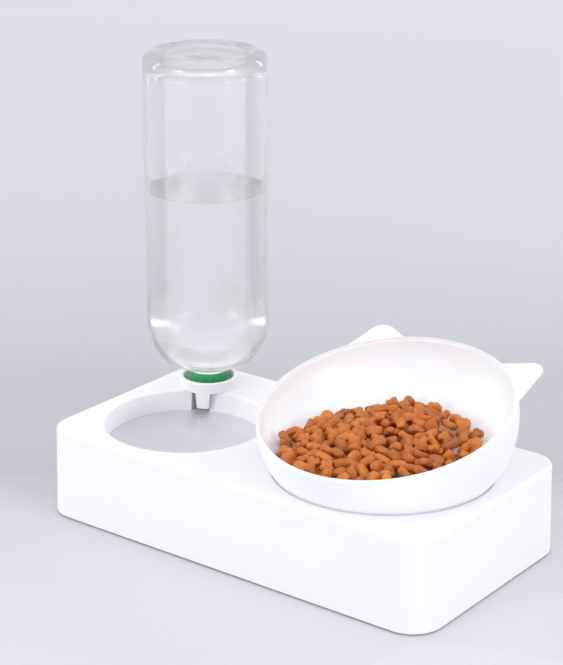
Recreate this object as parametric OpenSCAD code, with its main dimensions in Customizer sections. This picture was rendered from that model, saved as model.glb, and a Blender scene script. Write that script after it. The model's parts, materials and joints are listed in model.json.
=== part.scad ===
// Pet feeding station: a moulded base whose water basin is kept full by an inverted
// bottle with a spring valve, and a tilted food bowl with two ears that lifts out of
// its round seat.
// Origin: on the floor under the middle of the feeder's own box. +X runs along the
// base towards the food bowl, +Y to the back and +Z up.

/* [Base] */
// Length of the base at its bottom edge
base_l = 250; // [244:1:300]
// Depth of the base at its bottom edge
base_w = 136; // [132:1:160]
// Height of the base's top face above the floor
base_h = 50; // [47:0.5:60]
// Radius of the base's upright corners
base_corner_r = 17.5; // [12:0.5:22]
// How far each side wall leans in from bottom to top
base_taper = 1.2; // [0.4:0.1:2]
// Rounding of the top edge
base_edge_r = 1.8; // [0.8:0.1:2.4]
// Wall thickness of the base moulding
base_wall = 2.2; // [1.8:0.1:2.8]
// Thickness of the ribs under the base
rib_t = 1.6; // [1.2:0.1:2.4]
// Height of the ribs under the top wall
rib_h = 12; // [6:1:18]

/* [Feet] */
// Radius of a rubber foot pad
foot_r = 7.5; // [6:0.25:9]
// Thickness of a foot pad
foot_t = 3; // [2:0.25:4]
// How far a foot stands proud of the base's bottom edge
foot_proud = 1; // [0.6:0.1:1.6]
// Radius of the stem that holds a foot
foot_stem_r = 2; // [1.5:0.1:2.6]
// Length of that stem
foot_stem_l = 6; // [4:0.5:9]
// Distance from a foot's axis to each side wall's bottom edge
foot_inset = 14; // [12:0.5:17]

/* [Water basin] */
// Inner radius of the basin just below its lip
basin_r = 45; // [41:0.5:46]
// Depth of the basin
basin_depth = 28; // [24:0.5:32]
// How much the basin narrows from its lip to its floor
basin_draft = 2.5; // [1:0.1:4]
// Rounding between the basin's wall and floor
basin_floor_r = 10; // [6:0.5:14]
// Rounding of the basin's lip
basin_lip_r = 1.5; // [0.8:0.1:2]
// Land between the basin's lip and the base's side walls
basin_land = 8.5; // [8:0.5:12]

/* [Bottle socket] */
// Distance from the basin's inner wall to the socket's axis
socket_reach = 11.3; // [10.5:0.1:12]
// Direction from the basin's centre to the socket
socket_angle = 116.5; // [105:0.5:122]
// Height of the collar above the base's top face
collar_h = 6.1; // [5:0.1:9]
// Wall of the collar around the bottle's neck
collar_wall = 2.6; // [2:0.1:3.2]
// Rounding of the collar's top edge
collar_edge_r = 0.8; // [0.4:0.1:1.2]
// Thickness of the socket's floor and of its sleeve
sleeve_wall = 1.2; // [1:0.1:1.4]
// Wall between the well under the socket and the basin
well_wall = 2; // [1.8:0.1:2.4]
// How far the sleeve reaches below the base's top face
sleeve_l = 16; // [15:0.5:18]
// Width of the outlet slot between the well and the basin
slot_w = 10.4; // [9:0.1:11]
// Turn of the outlet slot away from the basin's centre
slot_turn = -9; // [-10:0.5:10]
// Width of the splash tongue at its root
tongue_w = 8.4; // [6:0.1:9]
// How much the tongue narrows on each side down to its tip
tongue_taper = 0.8; // [0:0.1:1]
// How far the tongue hangs below the collar
tongue_l = 9; // [6:0.25:10]
// Radius of the pin that opens the valve
pin_r = 1.8; // [1.4:0.1:2.4]
// Width of the arms that carry the pin and guide the stem
arm_w = 1.8; // [1.4:0.1:2.2]

/* [Bottle] */
// Outer radius of the bottle
bottle_r = 34.4; // [30:0.1:37]
// Length of the bottle's straight wall
bottle_body_l = 148; // [100:1:200]
// Height of the domed shoulder
shoulder_h = 27; // [22:0.5:34]
// Rounding of the bottle's heel
heel_r = 7; // [4:0.5:10]
// Wall thickness of the bottle
bottle_wall = 1.3; // [1:0.1:1.8]
// Outer radius of the bottle's neck
neck_r = 13.7; // [13:0.1:15]
// Wall thickness of the neck
neck_wall = 2.8; // [2:0.1:3.2]
// Length of the neck
neck_l = 9.2; // [8:0.1:14]
// Depth of the push-up in the bottle's base
punt_h = 6; // [3:0.5:9]

/* [Valve] */
// Thickness of the valve body's flange
valve_flange_t = 1.6; // [1.2:0.1:2]
// Thickness of the flat gasket under the bottle's mouth
gasket_t = 1; // [0.6:0.1:1.6]
// Height of the plug that the flange pushes into the neck
plug_h = 7; // [6.7:0.1:8]
// Wall thickness of the plug and of the spout
plug_wall = 1.4; // [1.2:0.1:1.6]
// How far the spout's end, and with it the water, stands below the base's top face
water_drop = 12; // [10.5:0.5:13]
// Radius of the port that the valve closes
port_r = 5; // [4.4:0.1:5.2]
// Travel of the valve's plunger
valve_travel = 3.5; // [2.5:0.25:3.5]
// Radius of the plunger's stem
stem_r = 1.6; // [1.4:0.1:1.8]
// Wire diameter of the valve spring
wire_d = 0.6; // [0.4:0.05:0.65]
// Number of turns of the valve spring
spring_turns = 5; // [4:1:6]

/* [Food bowl] */
// Radius of the bowl's foot
bowl_foot_r = 58.2; // [52:0.2:59]
// Outer radius of the bowl's rim
bowl_rim_r = 67.9; // [64:0.1:68]
// Rounding of the rim's outer edge
bowl_edge_r = 1.3; // [1:0.1:1.6]
// Height of the rim's centre above the base's top face
bowl_rim_h = 34.8; // [33:0.2:42]
// Tilt of the rim towards the front
bowl_tilt = 13.8; // [8:0.2:15]
// Depth of the inside, square to the rim
bowl_depth = 31; // [26:0.5:32]
// Wall thickness of the bowl
bowl_wall = 1.8; // [1.6:0.1:2.2]
// How deep the bowl's foot sits in the base
seat_depth = 8; // [6:0.5:10]
// Land between the bowl's seat and the base's right side
seat_land = 10.2; // [9:0.2:14]
// Heading of the bowl in its round seat
bowl_heading = -1.5; // [-180:0.5:180]
// How far an ear's tip stands out from the rim
ear_reach = 17.6; // [10:0.1:20]
// Radius of an ear's rounded tip
ear_tip_r = 6.9; // [5:0.1:7.5]
// Angle from the back of the bowl to an ear's tip
ear_angle = 37.3; // [32:0.1:50]
// Thickness of an ear
ear_t = 2; // [1.4:0.1:2.4]
// How far an ear's face lies below the rim
ear_drop = 2.2; // [1.6:0.1:3]

/* [Fits] */
// Gap round each piece that lifts out
lift_gap = 0.4; // [0.3:0.05:0.6]
// Running clearance of stems, barrels and sleeves
run_gap = 0.06; // [0.04:0.01:0.1]

/* [Hidden] */
$fn = 96;
// Overrun of every cut
cut = 0.5;
// Thickness of the plates that a hull joins
skin = 0.02;

// Base
cavity_top_z = base_h - base_wall;
corner_x = base_l / 2 - base_corner_r;
corner_y = base_w / 2 - base_corner_r;
foot_x = base_l / 2 - foot_inset;
foot_y = base_w / 2 - foot_inset;
foot_post_r = foot_stem_r + run_gap + base_wall;
// Places of the cross ribs and long ribs, as shares of the base's length and depth
cross_rib_shares = [-0.42, -0.28, -0.1, -0.05, 0.08, 0.22, 0.36];
long_rib_shares = [-0.3, 0, 0.3];

// Water basin
basin_inset = base_taper + basin_land + basin_lip_r + basin_r;
basin_x = basin_inset - base_l / 2;
basin_y = basin_inset - base_w / 2;
basin_floor_z = base_h - basin_depth;

// Bottle socket
collar_in_r = neck_r + lift_gap;
collar_r = collar_in_r + collar_wall;
well_r = socket_reach - well_wall;
sleeve_r = well_r - run_gap;
sleeve_in_r = sleeve_r - sleeve_wall;
spout_r = sleeve_in_r - lift_gap;
socket_x = basin_x + (basin_r + socket_reach) * cos(socket_angle);
socket_y = basin_y + (basin_r + socket_reach) * sin(socket_angle);
slot_angle = socket_angle + 180 + slot_turn;
slot_l = socket_reach + basin_draft + basin_floor_r;
collar_top_z = base_h + collar_h;
sleeve_low_z = base_h - sleeve_l;

// Valve, stacked up from the socket's floor
ledge_z = base_h + sleeve_wall;
flange_r = neck_r - run_gap;
flange_top_z = ledge_z + valve_flange_t;
mouth_z = flange_top_z + gasket_t;
neck_bore_r = neck_r - neck_wall;
plug_r = neck_bore_r - run_gap;
plug_in_r = plug_r - plug_wall;
plug_top_z = flange_top_z + plug_h;
spout_low_z = base_h - water_drop;
spout_in_r = spout_r - plug_wall;
seal_t = wire_d * 2;
seal_r = port_r + plug_wall;
seal_z = flange_top_z + valve_travel + run_gap;
disc_z = seal_z + seal_t;
disc_top_z = disc_z + plug_wall;
hub_r = stem_r + run_gap + sleeve_wall;
clip_t = sleeve_wall;
clip_z = spout_low_z + valve_travel;
clip_top_z = clip_z + clip_t;
spring_r = stem_r + wire_d;

// Bottle, up from its mouth
shoulder_z = mouth_z + neck_l;
body_z = shoulder_z + shoulder_h;
body_top_z = body_z + bottle_body_l;
bottle_top_z = body_top_z + heel_r;

// Food bowl
seat_r = bowl_foot_r + lift_gap;
seat_floor_z = base_h - seat_depth;
bowl_x = base_l / 2 - base_taper - seat_land - seat_r;
rim_z = base_h + bowl_rim_h;
// How far back the rim's centre lies from the foot's centre
rim_back = 0.9;
// Fullness of the bowl's inside: 2 is an ellipse, more is squarer
bowl_fullness = 2.5;
// Discs of the bowl's outside from the foot up to the rim: height, radius and lean
// to the back of each, as shares
skirt_height_shares = [0, 0.12, 0.28, 0.52, 0.82, 1];
skirt_radius_shares = [0, 0.33, 0.63, 0.88, 1.01, 1];
skirt_lean_shares = [0, 0.47, 0.84, 1, 0.72, 0.34];
skirt_lean = 3.7;
skirt_h = bowl_rim_h - bowl_edge_r;
// How far the skirt's low edge stands out from the foot
foot_lap = 0.12;
// Thickness of the bowl's inner wall at the rim, and the flat land inside its rounding
rim_wall = 1;
rim_land = 0.2;
// Roots of an ear on the rim, as angles from its tip towards the back and the side
ear_back_angle = 11.8;
ear_side_angle = 20.5;

// Middle of the whole feeder, measured from the centre of the base
origin_x = (socket_x - bottle_r + base_l / 2) / 2;
origin_y = (socket_y + bottle_r - base_w / 2) / 2;

// Points on a round: radius r about (x, y), from angle a to angle b
function arc(x, y, r, a, b, steps = 8) =
  [for (i = [0:steps]) [x + r * cos(a + (b - a) * i / steps),
                        y + r * sin(a + (b - a) * i / steps)]];

// Ring or disc between two radii and two heights
module ring(r_in, r_out, low_z, high_z) {
  translate([0, 0, low_z])
    difference() {
      cylinder(r = r_out, h = high_z - low_z);
      if (r_in > 0)
        translate([0, 0, -cut])
          cylinder(r = r_in, h = high_z - low_z + 2 * cut);
    }
}

// Places its children, laid out from the centre of the base, about the feeder's origin
module in_frame() {
  translate([-origin_x, -origin_y, 0])
    children();
}

// Base housing

// One upright corner of the base, or of its cavity, with a rounded top edge
module corner_post(r, low_z, high_z, edge) {
  h = high_z - low_z;
  translate([0, 0, low_z])
    rotate_extrude($fn = 64)
      polygon(concat([[0, 0], [r, 0]],
                     arc(r - base_taper - edge, h - edge, edge, 0, 90),
                     [[0, h]]));
}

// Box with leaning walls, round corners and a rounded top edge
module drafted_box(inset, low_z, high_z, edge) {
  hull()
    for (sx = [-1, 1], sy = [-1, 1])
      translate([sx * corner_x, sy * corner_y, 0])
        corner_post(base_corner_r - inset, low_z, high_z, edge);
}

// Outside of the basin under the top wall
module basin_outer() {
  wall_r = basin_r - basin_draft + base_wall;
  c = basin_floor_r + base_wall;
  translate([basin_x, basin_y, base_h - skin])
    rotate_extrude()
      polygon(concat([[0, 0], [0, -basin_depth - base_wall]],
                     arc(wall_r - c, -basin_depth - base_wall + c, c, -90, 0),
                     [[basin_r + base_wall, 0]]));
}

// Inside of the basin, with the rounding of its floor and lip
module basin_inner() {
  wall_r = basin_r - basin_draft;
  c = basin_floor_r;
  translate([basin_x, basin_y, base_h])
    rotate_extrude($fn = 144)
      polygon(concat([[0, cut], [0, -basin_depth]],
                     arc(wall_r - c, c - basin_depth, c, -90, 0),
                     arc(basin_r + basin_lip_r, -basin_lip_r, basin_lip_r, 180, 90),
                     [[basin_r + basin_lip_r, cut]]));
}

// Round seat of the food bowl, with a softened edge
module seat_inner() {
  edge = base_edge_r / 2;
  translate([bowl_x, 0, base_h])
    rotate_extrude($fn = 144)
      polygon(concat([[0, cut], [0, -seat_depth], [seat_r, -seat_depth]],
                     arc(seat_r + edge, -edge, edge, 180, 90),
                     [[seat_r + edge, cut]]));
}

// Post, and the gussets that tie it to the walls, behind one foot pad
module foot_post() {
  low_z = foot_t;
  h = cavity_top_z - low_z + skin;
  reach = foot_inset - base_wall / 2 - base_taper;
  translate([0, 0, low_z]) {
    cylinder(r = foot_post_r, h = h);
    translate([-foot_r, -rib_t / 2, 0]) cube([foot_r + reach, rib_t, h]);
    translate([-rib_t / 2, -foot_r, 0]) cube([rib_t, foot_r + reach, h]);
  }
}

// Ribs that hang under the top wall
module top_ribs() {
  low_z = cavity_top_z - rib_h;
  h = rib_h + skin;
  in_l = base_l - 2 * base_wall;
  in_w = base_w - 2 * base_wall;
  for (share = cross_rib_shares)
    translate([share * base_l - rib_t / 2, -in_w / 2, low_z]) cube([rib_t, in_w, h]);
  for (share = long_rib_shares)
    translate([-in_l / 2, share * base_w - rib_t / 2, low_z]) cube([in_l, rib_t, h]);
}

module base_housing() {
  color("white")
    in_frame()
      difference() {
        union() {
          difference() {
            union() {
              difference() {
                drafted_box(0, foot_proud, base_h, base_edge_r);
                drafted_box(base_wall, foot_proud - cut, cavity_top_z, base_edge_r / 2);
              }
              intersection() {
                drafted_box(base_wall / 2, foot_proud, base_h - skin, base_edge_r);
                union() {
                  top_ribs();
                  for (sx = [-1, 1], sy = [-1, 1])
                    translate([sx * foot_x, sy * foot_y, 0])
                      mirror([sx < 0 ? 1 : 0, 0, 0])
                        mirror([0, sy < 0 ? 1 : 0, 0])
                          foot_post();
                }
              }
              basin_outer();
              translate([socket_x, socket_y, 0])
                ring(0, well_r + base_wall, basin_floor_z - base_wall, base_h - skin);
              // Floor and sides round the outlet slot
              translate([socket_x, socket_y, basin_floor_z - base_wall])
                rotate([0, 0, slot_angle])
                  translate([0, -slot_w / 2 - base_wall, 0])
                    cube([slot_l, slot_w + 2 * base_wall, basin_depth + base_wall - skin]);
              translate([bowl_x, 0, 0])
                ring(0, seat_r + base_wall, seat_floor_z - base_wall, base_h - skin);
            }
            basin_inner();
            seat_inner();
          }
        }
        // Well for the socket's sleeve, and the slot that joins it to the basin
        translate([socket_x, socket_y, basin_floor_z])
          cylinder(r = well_r, h = basin_depth + cut);
        translate([socket_x, socket_y, basin_floor_z])
          rotate([0, 0, slot_angle])
            translate([0, -slot_w / 2, 0])
              cube([slot_l, slot_w, basin_depth + cut]);
        // Bores for the feet's stems
        for (sx = [-1, 1], sy = [-1, 1])
          translate([sx * foot_x, sy * foot_y, foot_t - cut])
            cylinder(r = foot_stem_r + run_gap, h = foot_stem_l + 2 * cut);
      }
}

// Feet

// Rubber pad with a soft edge and a stem pressed into the post behind it
module foot(sx, sy) {
  edge = foot_t / 4;
  color("gainsboro")
    in_frame()
      translate([sx * foot_x, sy * foot_y, 0])
        rotate_extrude()
          polygon(concat([[0, 0]],
                         arc(foot_r - edge, edge, edge, -90, 0),
                         [[foot_r, foot_t], [foot_stem_r, foot_t],
                          [foot_stem_r, foot_t + foot_stem_l],
                          [0, foot_t + foot_stem_l]]));
}

// Bottle socket

// Tongue under the collar that hangs in front of the outlet slot
module splash_tongue() {
  h = tongue_l + sleeve_wall / 2;
  top = tongue_w / 2;
  tip = tongue_w / 2 - tongue_taper;
  intersection() {
    ring(collar_in_r + run_gap, collar_r - run_gap, base_h - tongue_l - cut, base_h + sleeve_wall);
    rotate([0, 0, socket_angle + 180])
      translate([0, 0, base_h - tongue_l])
        rotate([90, 0, 90])
          linear_extrude(collar_r)
            polygon([[-tip, 0], [tip, 0], [top, h], [-top, h]]);
  }
}

module bottle_socket() {
  pin_top_z = clip_z - run_gap;
  color("white")
    in_frame()
      translate([socket_x, socket_y, 0]) {
        difference() {
          // Collar on the base's top face, its floor for the valve body, and the sleeve
          // in the base's well
          rotate_extrude()
            polygon(concat([[sleeve_in_r, sleeve_low_z], [sleeve_r, sleeve_low_z],
                            [sleeve_r, base_h], [collar_r, base_h]],
                           arc(collar_r - collar_edge_r, collar_top_z - collar_edge_r,
                               collar_edge_r, 0, 90),
                           [[collar_in_r + collar_edge_r, collar_top_z],
                            [collar_in_r, collar_top_z - collar_edge_r],
                            [collar_in_r, ledge_z], [sleeve_in_r, ledge_z]]));
          // The sleeve is open towards the outlet slot
          rotate([0, 0, slot_angle])
            translate([0, -slot_w / 2, sleeve_low_z + sleeve_wall])
              cube([collar_r, slot_w, sleeve_l - 3 * sleeve_wall]);
        }
        splash_tongue();
        // Pin on its three arms at the sleeve's low end
        for (turn = [60:120:300])
          rotate([0, 0, slot_angle + turn])
            translate([0, -arm_w / 2, sleeve_low_z])
              cube([sleeve_in_r + sleeve_wall / 2, arm_w, sleeve_wall]);
        translate([0, 0, sleeve_low_z + sleeve_wall / 2])
          cylinder(r = pin_r, h = pin_top_z - sleeve_low_z - sleeve_wall / 2);
      }
}

// Valve

// Disc and stem that close the port when the bottle is lifted
module valve_plunger() {
  color("white")
    in_frame()
      translate([socket_x, socket_y, 0]) {
        ring(0, stem_r, clip_z, disc_top_z);
        ring(0, seal_r, disc_z, disc_top_z);
      }
}

module plunger_seal() {
  color("dimgray")
    in_frame()
      translate([socket_x, socket_y, 0])
        ring(stem_r + run_gap, seal_r, seal_z, disc_z);
}

// Clip on the stem's low end that holds the spring and meets the socket's pin
module stem_clip() {
  color("white")
    in_frame()
      translate([socket_x, socket_y, 0])
        ring(stem_r, spring_r + wire_d, clip_z, clip_top_z);
}

// Points of one ring of the spring's wire, at a share of its length
function wire_ring(t) =
  let (turn = 360 * spring_turns * t,
       low = clip_top_z + wire_d / 2 + run_gap,
       high = ledge_z - wire_d / 2 - run_gap,
       z = low + (high - low) * t)
  [for (side = [0:5])
    [(spring_r + wire_d / 2 * cos(60 * side)) * cos(turn),
     (spring_r + wire_d / 2 * cos(60 * side)) * sin(turn),
     z + wire_d / 2 * sin(60 * side)]];

// Helical spring that pulls the plunger down on to its seat
module valve_spring() {
  rings = spring_turns * 12;
  sides = 6;
  points = [for (i = [0:rings]) each wire_ring(i / rings)];
  faces = concat(
    [[for (s = [0:sides - 1]) s]],
    [for (i = [0:rings - 1], s = [0:sides - 1], half = [0, 1])
      let (a = i * sides + s, b = i * sides + (s + 1) % sides)
      half == 0 ? [a, a + sides, b + sides] : [a, b + sides, b]],
    [[for (s = [sides - 1:-1:0]) rings * sides + s]]
  );
  color("silver")
    in_frame()
      translate([socket_x, socket_y, 0])
        polyhedron(points, faces);
}

// Green plug that seals the bottle's mouth, with the valve's seat, the stem's guide
// and the spout that sets the water's height
module valve_body() {
  color("limegreen")
    in_frame()
      translate([socket_x, socket_y, 0]) {
        rotate_extrude()
          polygon([[port_r, ledge_z], [port_r, flange_top_z],
                   [plug_in_r, flange_top_z], [plug_in_r, plug_top_z],
                   [plug_r, plug_top_z], [plug_r, flange_top_z],
                   [flange_r, flange_top_z], [flange_r, ledge_z],
                   [spout_r, ledge_z], [spout_r, spout_low_z],
                   [spout_in_r, spout_low_z], [spout_in_r, ledge_z]]);
        ring(stem_r + run_gap, hub_r, ledge_z, flange_top_z);
        for (turn = [0:120:240])
          rotate([0, 0, turn])
            translate([hub_r - run_gap, -arm_w / 2, ledge_z])
              cube([port_r - hub_r + 2 * run_gap, arm_w, valve_flange_t]);
      }
}

module neck_gasket() {
  color("dimgray")
    in_frame()
      translate([socket_x, socket_y, 0])
        ring(plug_r + run_gap, neck_r - run_gap, flange_top_z, mouth_z);
}

// Bottle

// Points of the bottle's skin from its mouth to the middle of its base
function bottle_skin(neck, body, grow) =
  let (dome = body - neck,
       heel = heel_r - grow,
       top = bottle_top_z - grow,
       // The dome starts higher inside, by the wall over the neck
       low = shoulder_z + grow)
  concat(
    [[neck, mouth_z], [neck, low]],
    [for (a = [10:10:90]) [neck + dome * sin(a), low + (body_z - low) * (1 - cos(a))]],
    arc(body - heel, top - heel, heel, 0, 90),
    [for (a = [0:15:90])
      [(body - heel - heel_r / 4) * cos(a), top - (punt_h - grow / 2) * sin(a)]]
  );

module bottle() {
  outer = bottle_skin(neck_r, bottle_r, 0);
  inner = bottle_skin(neck_bore_r, bottle_r - bottle_wall, bottle_wall);
  color("azure", 0.35)
    in_frame()
      translate([socket_x, socket_y, 0])
        rotate_extrude()
          difference() {
            polygon(concat(outer, [[0, mouth_z]]));
            polygon(concat([[0, mouth_z - cut], [neck_bore_r, mouth_z - cut]], inner));
          }
}

// Food bowl

// Places its children on the rim's plane: the rim's centre, tilted to the front
module on_rim() {
  translate([0, rim_back, rim_z])
    rotate([bowl_tilt, 0, 0])
      children();
}

// Solid of the bowl's inside or outside, up to a height over the rim's plane
module bowl_body(r, depth, top) {
  power = 2 / bowl_fullness;
  rotate_extrude()
    polygon(concat([[0, top], [r, top]],
                   [for (a = [5:5:90]) [r * pow(cos(a), power),
                                        -depth * pow(sin(a), power)]]));
}

// Solid between the foot's circle and the tilted rim's circle, with swelling walls and, where
// it is the outside, a rounded rim
module skirt_solid(inset, top_gap, rounded) {
  grow = bowl_rim_r - foot_lap - bowl_foot_r;
  hull() {
    for (i = [0:len(skirt_height_shares) - 1])
      translate([0, skirt_lean * skirt_lean_shares[i],
                 base_h + (skirt_h - top_gap) * skirt_height_shares[i]])
        rotate([bowl_tilt * skirt_height_shares[i], 0, 0])
          cylinder(r = bowl_foot_r + foot_lap + grow * skirt_radius_shares[i] - inset,
                   h = skin, $fn = 64);
    if (rounded)
      on_rim()
        for (turn = [30:30:90])
          translate([0, 0, -skin - bowl_edge_r * (1 - sin(turn))])
            cylinder(r = bowl_rim_r - bowl_edge_r * (1 - cos(turn)), h = skin, $fn = 64);
  }
}

// Outline of an ear in the rim's plane, on the right
module ear_outline() {
  hull() {
    rotate([0, 0, 90 - ear_angle])
      translate([bowl_rim_r + ear_reach - ear_tip_r, 0]) circle(r = ear_tip_r, $fn = 48);
    for (turn = [ear_back_angle, -ear_side_angle])
      rotate([0, 0, 90 - ear_angle + turn])
        translate([bowl_rim_r - bowl_edge_r, 0]) circle(r = bowl_edge_r, $fn = 16);
  }
}

// Both ears, just under the rim
module ears() {
  translate([0, 0, -ear_drop - ear_t])
    linear_extrude(ear_t)
      for (side = [0, 1])
        mirror([side, 0]) ear_outline();
}

module food_bowl() {
  inner_r = bowl_rim_r - bowl_edge_r - rim_land;
  color("white")
    in_frame()
      translate([bowl_x, 0, 0])
        rotate([0, 0, bowl_heading])
          difference() {
            union() {
              difference() {
                union() {
                  ring(0, bowl_foot_r, seat_floor_z, base_h + foot_lap);
                  skirt_solid(0, 0, true);
                }
                ring(0, bowl_foot_r - bowl_wall, seat_floor_z - cut, base_h + foot_lap);
                skirt_solid(bowl_wall, bowl_wall, false);
              }
              on_rim() {
                bowl_body(inner_r + rim_wall, bowl_depth + bowl_wall, -bowl_edge_r);
                ears();
              }
            }
            on_rim()
              bowl_body(inner_r, bowl_depth, cut);
          }
}

base_housing();
foot(-1, -1);  // foot_front_left
foot(1, -1);  // foot_front_right
foot(-1, 1);  // foot_back_left
foot(1, 1);  // foot_back_right
bottle_socket();
valve_plunger();
plunger_seal();
valve_spring();
stem_clip();
valve_body();
neck_gasket();
bottle();
food_bowl();
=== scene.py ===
"""Looks of the double pet bowl: a white feeding station with a clear bottle and a cat-ear bowl.

Laid out as an add-on and run as a script. Every length is in metres, in the frame of the
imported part: the floor is z = 0, +X runs towards the food bowl and +Y to the back.
"""

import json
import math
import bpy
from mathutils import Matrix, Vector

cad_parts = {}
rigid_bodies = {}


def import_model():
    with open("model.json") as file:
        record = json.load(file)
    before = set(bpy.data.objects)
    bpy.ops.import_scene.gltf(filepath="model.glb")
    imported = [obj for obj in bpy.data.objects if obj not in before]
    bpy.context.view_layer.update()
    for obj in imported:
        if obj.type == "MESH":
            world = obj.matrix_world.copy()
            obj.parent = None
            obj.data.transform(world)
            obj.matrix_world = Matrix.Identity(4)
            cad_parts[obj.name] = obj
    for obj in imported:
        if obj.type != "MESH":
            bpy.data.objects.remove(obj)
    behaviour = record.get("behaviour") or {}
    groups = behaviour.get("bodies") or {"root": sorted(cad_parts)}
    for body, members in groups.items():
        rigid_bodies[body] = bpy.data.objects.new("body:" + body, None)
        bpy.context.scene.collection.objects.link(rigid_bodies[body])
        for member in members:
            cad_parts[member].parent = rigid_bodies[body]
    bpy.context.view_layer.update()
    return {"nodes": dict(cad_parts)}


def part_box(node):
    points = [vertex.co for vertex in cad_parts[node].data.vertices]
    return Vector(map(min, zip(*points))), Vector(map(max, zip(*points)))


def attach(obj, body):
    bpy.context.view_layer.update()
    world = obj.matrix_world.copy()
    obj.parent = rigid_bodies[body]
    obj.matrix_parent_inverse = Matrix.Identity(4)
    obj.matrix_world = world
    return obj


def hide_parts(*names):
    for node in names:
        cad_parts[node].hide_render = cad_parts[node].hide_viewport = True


bl_info = {
    "name": "Pet feeding station",
    "version": (1, 0, 0),
    "blender": (4, 5, 0),
    "location": "3D View > Sidebar > Feeder",
    "description": "Builds the looks of a pet feeding station round its packed frame",
    "category": "Object",
}

import bmesh
import bpy
from mathutils import Euler, Matrix, Vector

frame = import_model()
NODES = frame["nodes"]
MM = 0.001

# Upright axis of the bottle, read from the frame
BOTTLE_LOW, BOTTLE_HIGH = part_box("bottle")
AXIS = (BOTTLE_LOW + BOTTLE_HIGH) / 2

# Bottle, upside down as it stands in the socket. The outside has the part's own sizes;
# the base is thicker and its dish shallower than in the part.
MOUTH_Z = 53.8 * MM
SHOULDER_Z = 63.0 * MM
BODY_Z = 90.0 * MM
TOP_Z = 245.0 * MM
BOTTLE_R = 34.4 * MM
NECK_R = 13.7 * MM
NECK_BORE_R = 10.9 * MM
BOTTLE_WALL = 1.3 * MM
HEEL_R = 7.0 * MM
INNER_HEEL_R = 6.6 * MM
DISH_DEPTH = 2.6 * MM
DISH_SLOPE = 8.5 * MM
GATE_R = 2.2 * MM
GATE_H = 0.4 * MM
FLOOR_Z = 238.6 * MM
FLOOR_RISE = 0.5 * MM
PLUG_TOP_Z = 59.9 * MM

# The view passes straight through the neck below the first height, and less round the
# shoulder than over the second
NECK_LOOK_Z = 65.5 * MM
NECK_FADE = 2.0 * MM
SHOULDER_LOOK_Z = 94.0 * MM
SHOULDER_FADE = 8.0 * MM


# ---------------------------------------------------------------- shader helper


class Signal:
    """One output of a node. Arithmetic on it adds Math nodes."""

    def __init__(self, finish, socket):
        self.finish = finish
        self.socket = socket

    def math(self, operation, *values):
        """A Math node over numbers or signals."""
        return self.finish.add("ShaderNodeMath", {"operation": operation}, dict(enumerate(values)))

    def __add__(self, other):
        return self.math("ADD", self, other)

    def __radd__(self, other):
        return self.math("ADD", other, self)

    def __sub__(self, other):
        return self.math("SUBTRACT", self, other)

    def __rsub__(self, other):
        return self.math("SUBTRACT", other, self)

    def __mul__(self, other):
        return self.math("MULTIPLY", self, other)

    def __truediv__(self, other):
        return self.math("DIVIDE", self, other)

    def clamp(self):
        """Kept between 0 and 1."""
        return self.math("MINIMUM", self.math("MAXIMUM", self, 0.0), 1.0)


class Finish:
    """A material and its node tree."""

    def __init__(self, name):
        self.material = bpy.data.materials.new(name)
        self.material.use_nodes = True
        self.tree = self.material.node_tree
        self.tree.nodes.clear()
        self.where = self.add("ShaderNodeTexCoord", output="Object")

    def add(self, kind, settings=None, inputs=None, output=0):
        """Any node: its settings go in first, then the values or links of its sockets."""
        node = self.tree.nodes.new(kind)
        for key, value in (settings or {}).items():
            if key == "stops":
                self.set_stops(node.color_ramp, value)
            else:
                setattr(node, key, value)
        for key, value in (inputs or {}).items():
            if isinstance(value, Signal):
                self.tree.links.new(value.socket, node.inputs[key])
            else:
                node.inputs[key].default_value = value
        return Signal(self, node.outputs[output])

    @staticmethod
    def set_stops(ramp, stops):
        """Fills a colour ramp with (place, colour) pairs."""
        while len(ramp.elements) > 1:
            ramp.elements.remove(ramp.elements[-1])
        for i, (place, colour) in enumerate(stops):
            stop = ramp.elements[0] if i == 0 else ramp.elements.new(place)
            stop.position = place
            stop.color = (*colour, 1.0)

    def noise(self, scale, detail=2.0, roughness=0.5, where=None):
        """Noise in object coordinates, from 0 to 1."""
        where = where or self.where
        named = {"Vector": where, "Scale": scale, "Detail": detail, "Roughness": roughness}
        return self.add("ShaderNodeTexNoise", None, named)

    def blend(self, factor, first, second):
        """Colour between two colours."""
        return self.add("ShaderNodeMix", {"data_type": "RGBA"}, {0: factor, 6: first, 7: second}, 2)

    def ramp(self, factor, stops):
        """Colour along some stops."""
        return self.add("ShaderNodeValToRGB", {"stops": stops}, {"Fac": factor}, "Color")

    def bump(self, height, distance):
        """Normal from a height from 0 to 1 over a distance in metres."""
        return self.add("ShaderNodeBump", None, {"Height": height, "Distance": distance})

    def parts_of(self, signal):
        """X, Y and Z of a vector."""
        node = self.tree.nodes.new("ShaderNodeSeparateXYZ")
        self.tree.links.new(signal.socket, node.inputs[0])
        return [Signal(self, out) for out in node.outputs]

    def principled(self, **inputs):
        """Principled shader; an underscore in a name stands for a space."""
        named = {key.replace("_", " "): value for key, value in inputs.items()}
        return self.add("ShaderNodeBsdfPrincipled", None, named)

    def done(self, shader):
        """Links the shader to the output and gives the material."""
        out = self.tree.nodes.new("ShaderNodeOutputMaterial")
        self.tree.links.new(shader.socket, out.inputs["Surface"])
        return self.material


def rgba(colour, scale=1.0):
    """Colour with an alpha of 1, made lighter or darker."""
    return (colour[0] * scale, colour[1] * scale, colour[2] * scale, 1.0)


# ---------------------------------------------------------------- materials


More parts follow.
